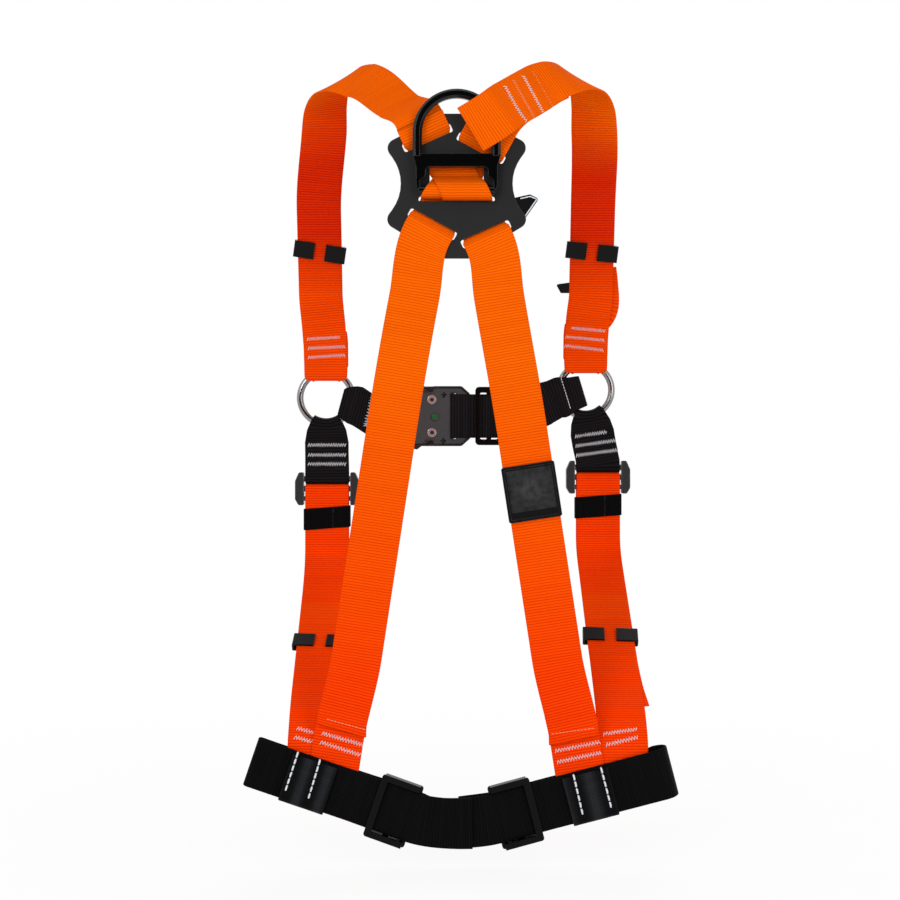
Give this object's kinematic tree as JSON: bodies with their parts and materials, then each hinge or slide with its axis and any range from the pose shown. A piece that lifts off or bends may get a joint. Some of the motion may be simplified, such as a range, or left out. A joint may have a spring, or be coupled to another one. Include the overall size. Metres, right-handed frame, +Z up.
{
  "type": "full-body safety harness",
  "caption": "Fall-arrest body harness of orange and black webbing with a dorsal plate and D-ring, chest rings, a lever buckle, sliding adjusters and leg loops.",
  "frame": {"origin": "midway between the two shoulder straps, at their underside, where the harness rests on the wearer's shoulders", "axes": "+Z up, +Y to the wearer's front, +X to the wearer's right-hand side as seen from behind"},
  "size_m": [0.3915, 0.2381, 0.7242],
  "materials": {
    "orange_webbing": "ribbed polyester webbing",
    "black_webbing": "ribbed polyester webbing",
    "elastic": "woven elastic",
    "plate_plastic": "moulded",
    "forged_black": "satin coating with bright worn edges",
    "polished_steel": "polished",
    "clip_plastic": "moulded",
    "black_steel": "satin coating",
    "bright_steel": "plain",
    "green_enamel": "gloss",
    "black_rubber": "moulded",
    "grey_alloy": "dark anodised"
  },
  "bodies": {
    "webbing": {"dorsal_plate": "plate_plastic", "left_back_strap": "orange_webbing", "right_back_strap": "orange_webbing", "right_shoulder_strap": "orange_webbing", "shoulder_tab": "orange_webbing", "left_lower_loop": "black_webbing", "right_lower_loop": "black_webbing", "left_adjuster_frame": "grey_alloy", "right_adjuster_frame": "grey_alloy", "left_lower_strap": "orange_webbing", "right_lower_strap": "orange_webbing", "left_chest_strap": "black_webbing", "right_chest_strap": "black_webbing", "chest_slider": "grey_alloy", "buckle_back_plate": "grey_alloy", "buckle_front_plate": "grey_alloy", "buckle_tongue": "grey_alloy", "buckle_springs": "bright_steel", "buckle_rivets": "bright_steel", "lock_indicator": "green_enamel", "rubber_patch": "black_rubber", "dorsal_tag": "black_rubber", "front_tag": "black_rubber", "label_pocket": "orange_webbing", "left_leg_strap": "black_webbing", "right_leg_strap": "black_webbing", "left_junction_sleeve": "black_webbing", "right_junction_sleeve": "black_webbing"},
    "dorsal_ring": {"dorsal_ring": "forged_black"},
    "left_chest_ring": {"left_chest_ring": "polished_steel"},
    "right_chest_ring": {"right_chest_ring": "polished_steel"},
    "left_upper_clip": {"left_upper_clip": "clip_plastic"},
    "right_upper_clip": {"right_upper_clip": "clip_plastic"},
    "left_lower_clip": {"left_lower_clip": "clip_plastic"},
    "right_lower_clip": {"right_lower_clip": "clip_plastic"},
    "left_keeper": {"left_keeper": "elastic"},
    "right_keeper": {"right_keeper": "elastic"},
    "left_adjuster_bar": {"left_adjuster_bar": "grey_alloy"},
    "right_adjuster_bar": {"right_adjuster_bar": "grey_alloy"},
    "left_leg_adjuster": {"left_leg_adjuster": "black_steel"},
    "right_leg_adjuster": {"right_leg_adjuster": "black_steel"},
    "buckle_upper_lever": {"buckle_upper_lever": "grey_alloy"},
    "buckle_lower_lever": {"buckle_lower_lever": "grey_alloy"}
  },
  "joints": [
    {"name": "dorsal_ring_swing", "type": "hinge", "parent": "webbing", "child": "dorsal_ring", "pos_m": [0, -0.1095, -0.118], "axis": [1, 0, 0], "range_deg": [0, 150], "deforming": ["shoulder_tab"]},
    {"name": "left_chest_ring_turn", "type": "hinge", "parent": "webbing", "child": "left_chest_ring", "pos_m": [-0.134, 0.11, -0.296], "axis": [0, 1, 0], "continuous": true},
    {"name": "right_chest_ring_turn", "type": "hinge", "parent": "webbing", "child": "right_chest_ring", "pos_m": [0.134, 0.11, -0.288], "axis": [0, 1, 0], "continuous": true},
    {"name": "left_upper_clip_slide", "type": "slide", "parent": "webbing", "child": "left_upper_clip", "axis": [0, -0.2717, 0.9624], "range_m": [-0.015, 0.015]},
    {"name": "right_upper_clip_slide", "type": "slide", "parent": "webbing", "child": "right_upper_clip", "axis": [0, -0.2717, 0.9624], "range_m": [0, 0.02]},
    {"name": "left_lower_clip_slide", "type": "slide", "parent": "webbing", "child": "left_lower_clip", "axis": [-0.0164, 0.8566, 0.5157], "range_m": [-0.03, 0.03]},
    {"name": "right_lower_clip_slide", "type": "slide", "parent": "webbing", "child": "right_lower_clip", "axis": [-0.0079, 0.823, 0.568], "range_m": [-0.03, 0.03]},
    {"name": "left_keeper_slide", "type": "slide", "parent": "webbing", "child": "left_keeper", "axis": [0, 0, 1], "range_m": [-0.012, 0]},
    {"name": "right_keeper_slide", "type": "slide", "parent": "webbing", "child": "right_keeper", "axis": [0, 0, 1], "range_m": [-0.012, 0]},
    {"name": "left_adjuster_bar_slide", "type": "slide", "parent": "webbing", "child": "left_adjuster_bar", "axis": [0, 0, 1], "range_m": [-0.003, 0]},
    {"name": "right_adjuster_bar_slide", "type": "slide", "parent": "webbing", "child": "right_adjuster_bar", "axis": [0, 0, 1], "range_m": [-0.003, 0]},
    {"name": "left_leg_adjuster_slide", "type": "slide", "parent": "webbing", "child": "left_leg_adjuster", "axis": [-0.9442, 0.0735, 0.321], "range_m": [-0.005, 0.008]},
    {"name": "right_leg_adjuster_slide", "type": "slide", "parent": "webbing", "child": "right_leg_adjuster", "axis": [0.9667, 0.0486, 0.2513], "range_m": [-0.002, 0.0115]},
    {"name": "upper_lever_press", "type": "hinge", "parent": "webbing", "child": "buckle_upper_lever", "pos_m": [-0.0246, 0.1112, -0.298], "axis": [0, -1, 0], "range_deg": [0, 10], "stiffness_Nm_per_rad": 0.05, "springref_deg": -8.59},
    {"name": "lower_lever_press", "type": "hinge", "parent": "webbing", "child": "buckle_lower_lever", "pos_m": [-0.0246, 0.1112, -0.332], "axis": [0, 1, 0], "range_deg": [0, 10], "stiffness_Nm_per_rad": 0.05, "springref_deg": -8.59}
  ]
}
